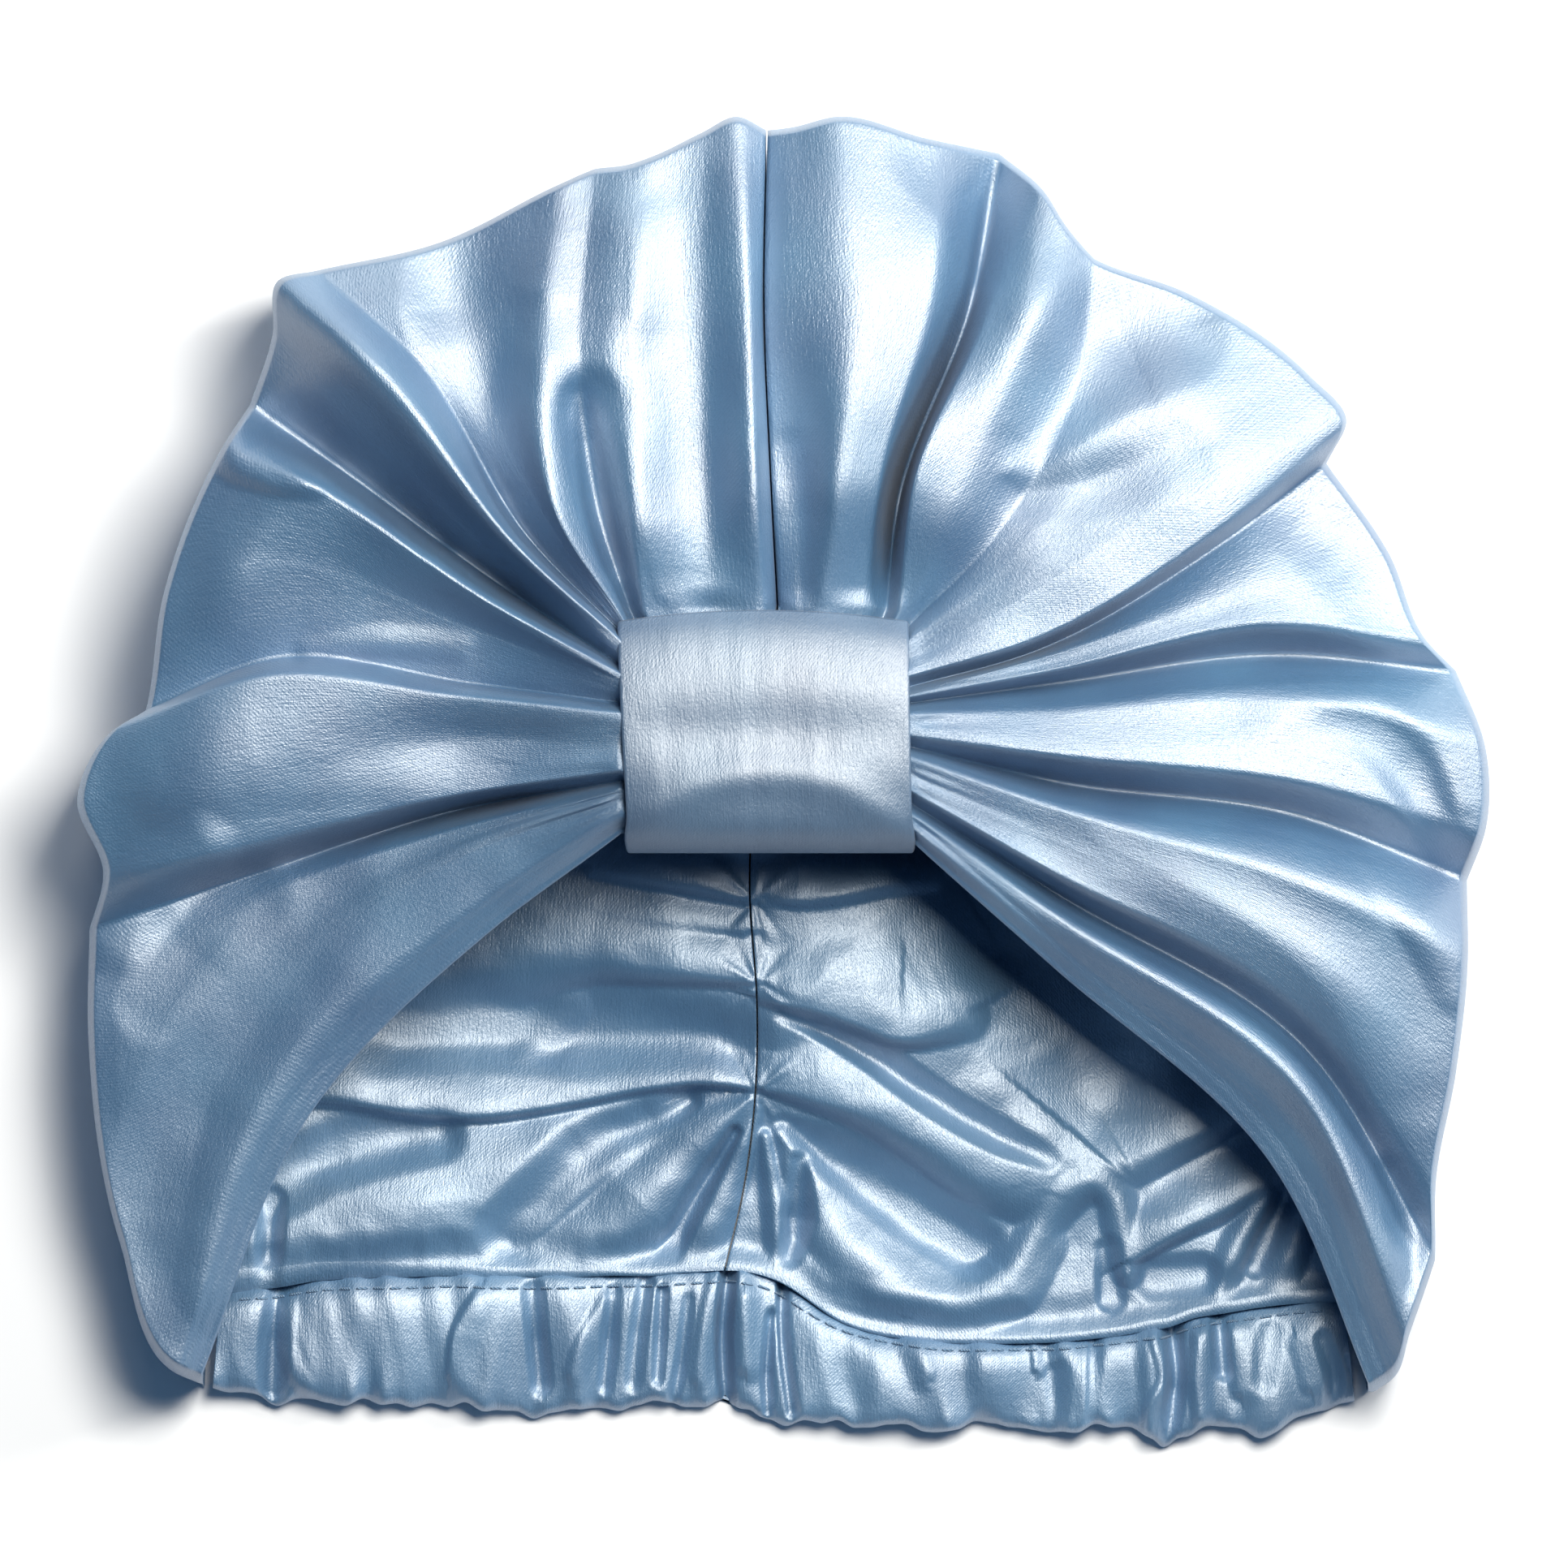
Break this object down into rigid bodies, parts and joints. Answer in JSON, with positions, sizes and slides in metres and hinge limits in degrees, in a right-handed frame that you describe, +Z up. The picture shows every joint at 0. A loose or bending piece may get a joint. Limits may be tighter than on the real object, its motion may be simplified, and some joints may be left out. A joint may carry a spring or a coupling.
{
  "type": "sleep bonnet",
  "caption": "Satin sleep bonnet lying on its back: pleats gathered under a knot band, an open face edge and an elastic gathered nape.",
  "frame": {"origin": "on the floor that the cap lies on, under the middle of its outline", "axes": "+Z up from the floor through the open face side, +Y from the nape hem to the crown, +X to the right as seen from above"},
  "size_m": [0.2943, 0.2777, 0.079],
  "materials": {
    "front_satin": "pale blue satin, glossy on the folds",
    "back_satin": "pale blue satin, the inner side of the back",
    "casing_satin": "pale blue satin, gathered over elastic",
    "band_satin": "pale blue satin, drawn smooth over the gathers"
  },
  "bodies": {
    "root": {"crown_left": "front_satin", "crown_right": "front_satin", "back_left": "back_satin", "back_right": "back_satin", "nape_casing": "casing_satin", "knot_band": "band_satin"}
  },
  "joints": []
}
